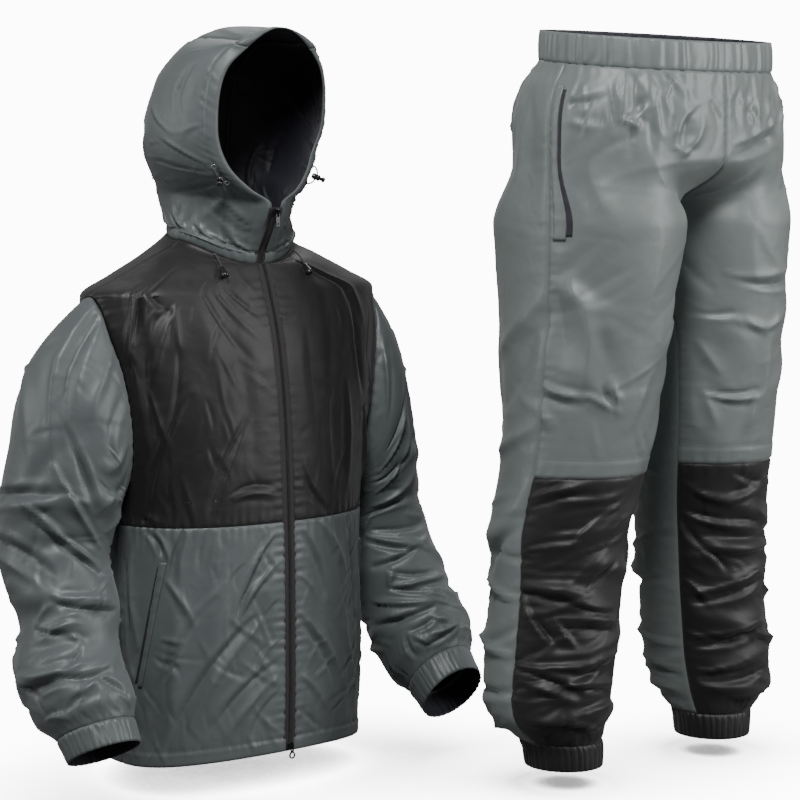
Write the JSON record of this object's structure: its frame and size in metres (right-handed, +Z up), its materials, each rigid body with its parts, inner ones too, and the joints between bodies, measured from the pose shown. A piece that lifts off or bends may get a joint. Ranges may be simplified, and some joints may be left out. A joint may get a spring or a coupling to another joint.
{
  "type": "rain suit",
  "caption": "Hooded zip rain jacket with dark yoke and elastic cuffs, beside elastic-waist rain trousers with dark lower fronts, both filled out as worn.",
  "frame": {"origin": "centre of the jacket's neck seam, between the shoulders, where a wearer or hanger holds it", "axes": "+Z up; -Y is the way the fronts face; -X is the wearer's right. The trousers stand at +X and -Y of the jacket, as in the picture"},
  "size_m": [1.1155, 0.713, 1.06],
  "materials": {
    "slate_cloth": "coated nylon with a soft satin sheen, slate grey",
    "black_cloth": "coated nylon with a soft satin sheen, black",
    "zip_tape": "woven tape with moulded teeth, black",
    "black_plastic": "glossy black",
    "black_metal": "glossy black enamel",
    "cord_black": "braided cord, black",
    "eyelet_metal": "dull grey metal"
  },
  "bodies": {
    "suit": {"ankle_l": "black_cloth", "ankle_r": "black_cloth", "cuff_l": "slate_cloth", "cuff_r": "slate_cloth", "hood_centre": "slate_cloth", "hood_cord_l": "cord_black", "hood_cord_r": "cord_black", "hood_eyelet_l_low": "eyelet_metal", "hood_eyelet_l_top": "eyelet_metal", "hood_eyelet_r_low": "eyelet_metal", "hood_eyelet_r_top": "eyelet_metal", "hood_side_l": "slate_cloth", "hood_side_r": "slate_cloth", "lock_barrel_l": "black_plastic", "lock_barrel_r": "black_plastic", "lower_back": "slate_cloth", "lower_front_l": "slate_cloth", "lower_front_r": "slate_cloth", "neck_band": "slate_cloth", "neck_cord_l": "cord_black", "neck_cord_r": "cord_black", "neck_toggle_l": "black_plastic", "neck_toggle_r": "black_plastic", "pocket_welt_l": "slate_cloth", "pocket_welt_r": "slate_cloth", "shin_front_l": "black_cloth", "shin_front_r": "black_cloth", "sleeve_l": "slate_cloth", "sleeve_r": "slate_cloth", "trouser_back_l": "slate_cloth", "trouser_back_r": "slate_cloth", "trouser_front_l": "slate_cloth", "trouser_front_r": "slate_cloth", "trouser_welt_l": "slate_cloth", "trouser_welt_r": "slate_cloth", "waistband": "slate_cloth", "yoke_back": "black_cloth", "yoke_front_l": "black_cloth", "yoke_front_r": "black_cloth", "zip_chain": "zip_tape", "zip_slider_low": "black_metal", "zip_slider_top": "black_metal", "zip_tape_l": "zip_tape", "zip_tape_r": "zip_tape"},
    "top_pull_tab": {"pull_top": "black_metal"},
    "low_pull_tab": {"pull_low": "black_metal"},
    "right_lock_plunger": {"lock_plunger_r": "black_plastic"},
    "left_lock_plunger": {"lock_plunger_l": "black_plastic"}
  },
  "joints": [
    {"name": "top_tab_swing", "type": "hinge", "parent": "suit", "child": "top_pull_tab", "pos_m": [0, -0.10862, 0.04884], "axis": [-1, 0, 0], "range_deg": [0, 120]},
    {"name": "low_tab_swing", "type": "hinge", "parent": "suit", "child": "low_pull_tab", "pos_m": [0, -0.13649, -0.7155], "axis": [-1, 0, 0], "range_deg": [0, 120]},
    {"name": "right_lock_press", "type": "slide", "parent": "suit", "child": "right_lock_plunger", "axis": [0.5695, 0.6328, 0.5246], "range_m": [0, 0.003], "stiffness_N_per_m": 150, "springref_m": -0.002},
    {"name": "left_lock_press", "type": "slide", "parent": "suit", "child": "left_lock_plunger", "axis": [-0.5873, 0.7249, 0.3599], "range_m": [0, 0.003], "stiffness_N_per_m": 150, "springref_m": -0.002}
  ]
}
